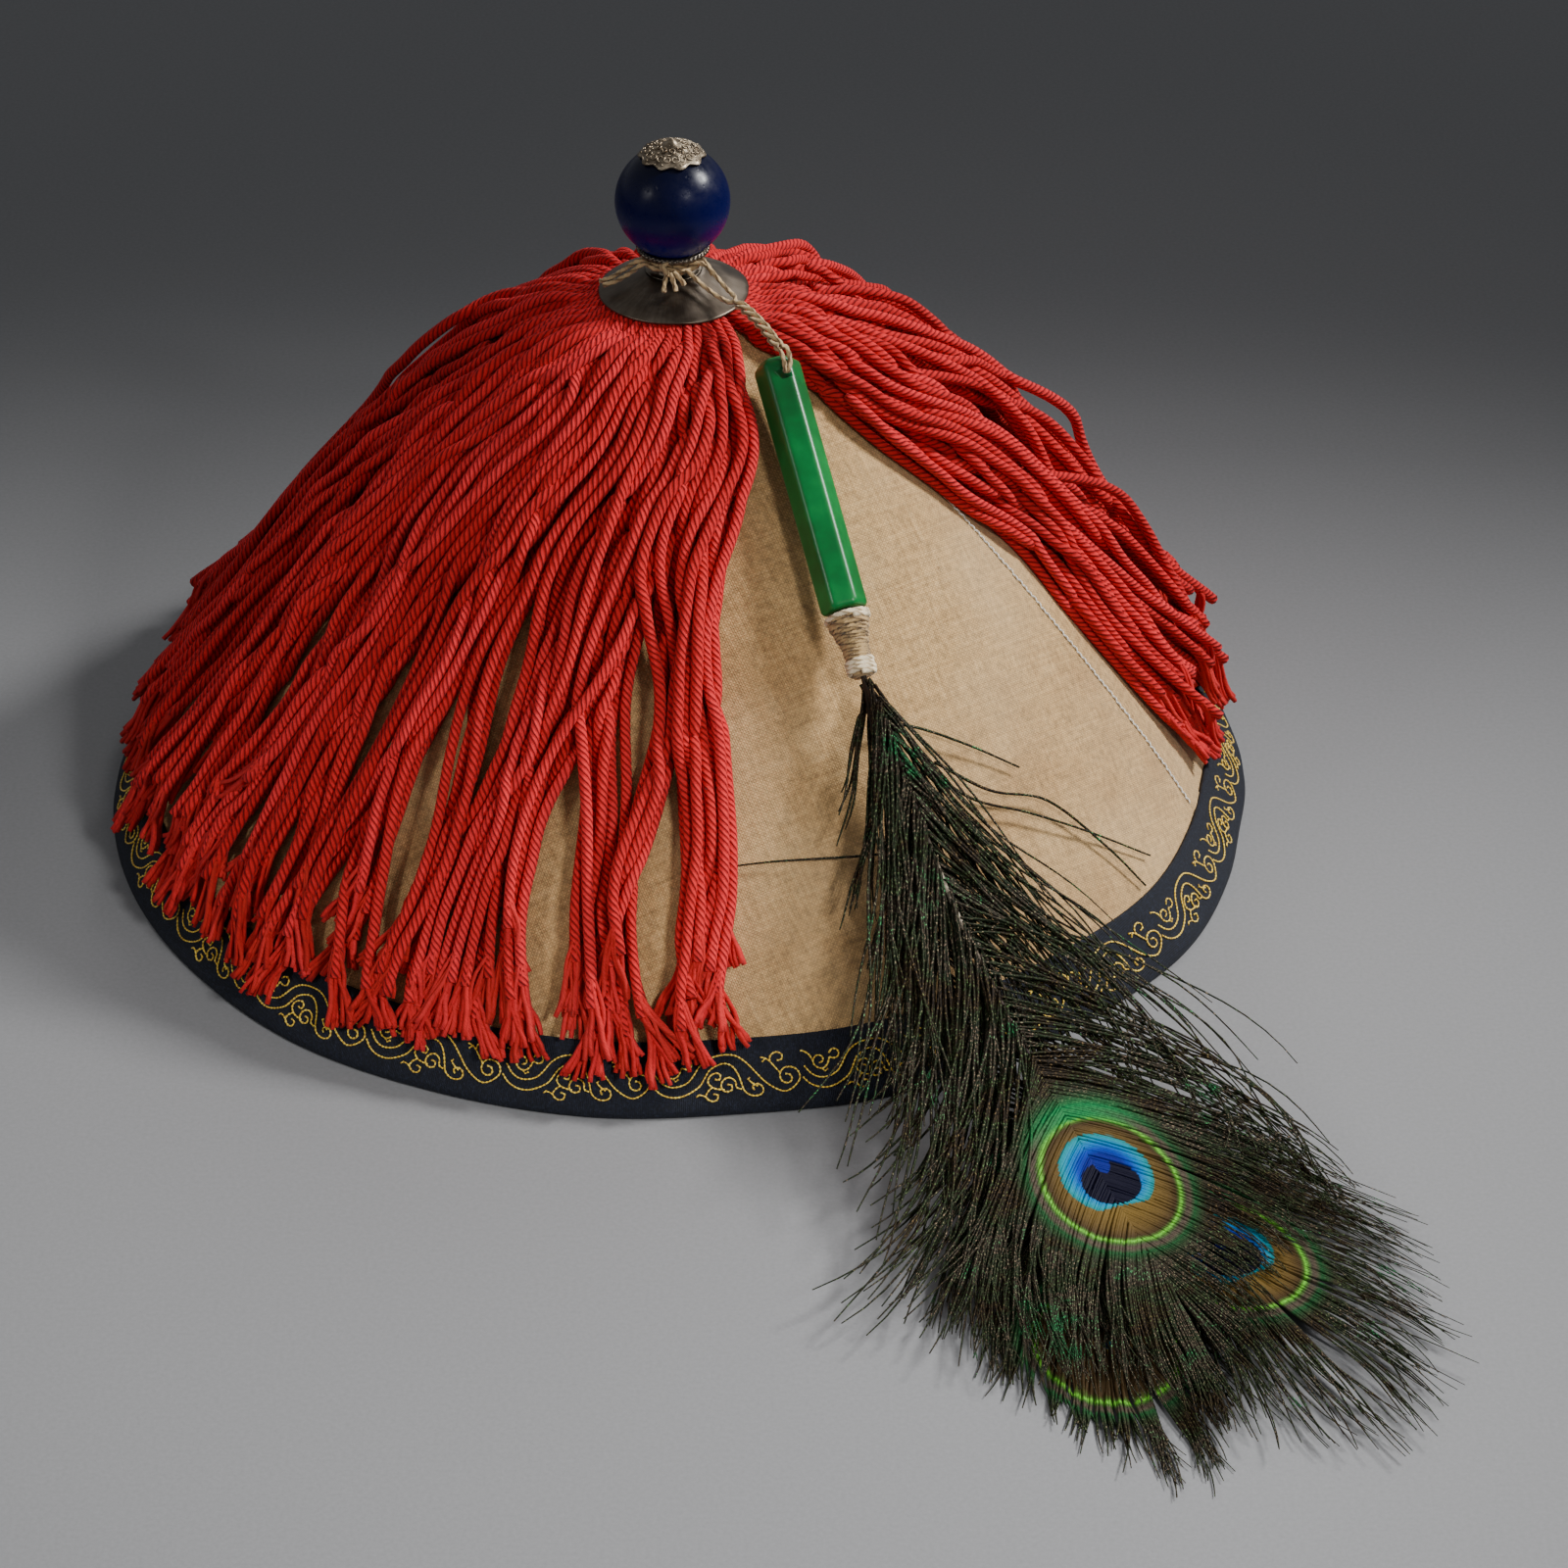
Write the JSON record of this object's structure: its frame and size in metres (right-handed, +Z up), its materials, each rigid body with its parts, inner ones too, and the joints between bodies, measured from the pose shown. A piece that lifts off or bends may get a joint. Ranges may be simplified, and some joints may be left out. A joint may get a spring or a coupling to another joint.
{
  "type": "mandarin official hat",
  "caption": "Summer official hat: linen cone with a figured navy rim band, a mantle of red cords, a blue glass ball finial on a metal disc, and a peacock plume hung from a green glass tube.",
  "frame": {"origin": "centre of the rim plane, on the hat's axis, where the hat sits on a head or a table", "axes": "+Z up along the hat's axis, -Y towards the front of the hat, over which the plume lies"},
  "size_m": [0.3321, 0.4374, 0.1882],
  "materials": {
    "linen": "plain weave linen, slightly stained",
    "navy_ribbon": "ribbed woven ribbon with a gold thread scroll",
    "red_cord": "twisted cotton cord with frayed ends",
    "patinated_metal": "dark patina",
    "tarnished_silver": "tarnished, worn bright on the relief",
    "blue_glass": "deep cobalt, scuffed gloss",
    "green_glass": "polished, cloudy jade green",
    "hemp_string": "rough natural fibre",
    "peacock_barbs": "iridescent barbs"
  },
  "bodies": {
    "root": {"crown": "linen", "brim_band": "navy_ribbon", "cord_fringe": "red_cord", "base_disc": "patinated_metal", "finial_post": "patinated_metal", "finial_collar": "tarnished_silver", "finial_ball": "blue_glass", "finial_cap": "tarnished_silver", "string_tie": "hemp_string", "string_braid": "hemp_string", "plume_tube": "green_glass", "plume_binding": "hemp_string", "feather_upper": "peacock_barbs", "feather_middle": "peacock_barbs", "feather_lower": "peacock_barbs"}
  },
  "joints": []
}
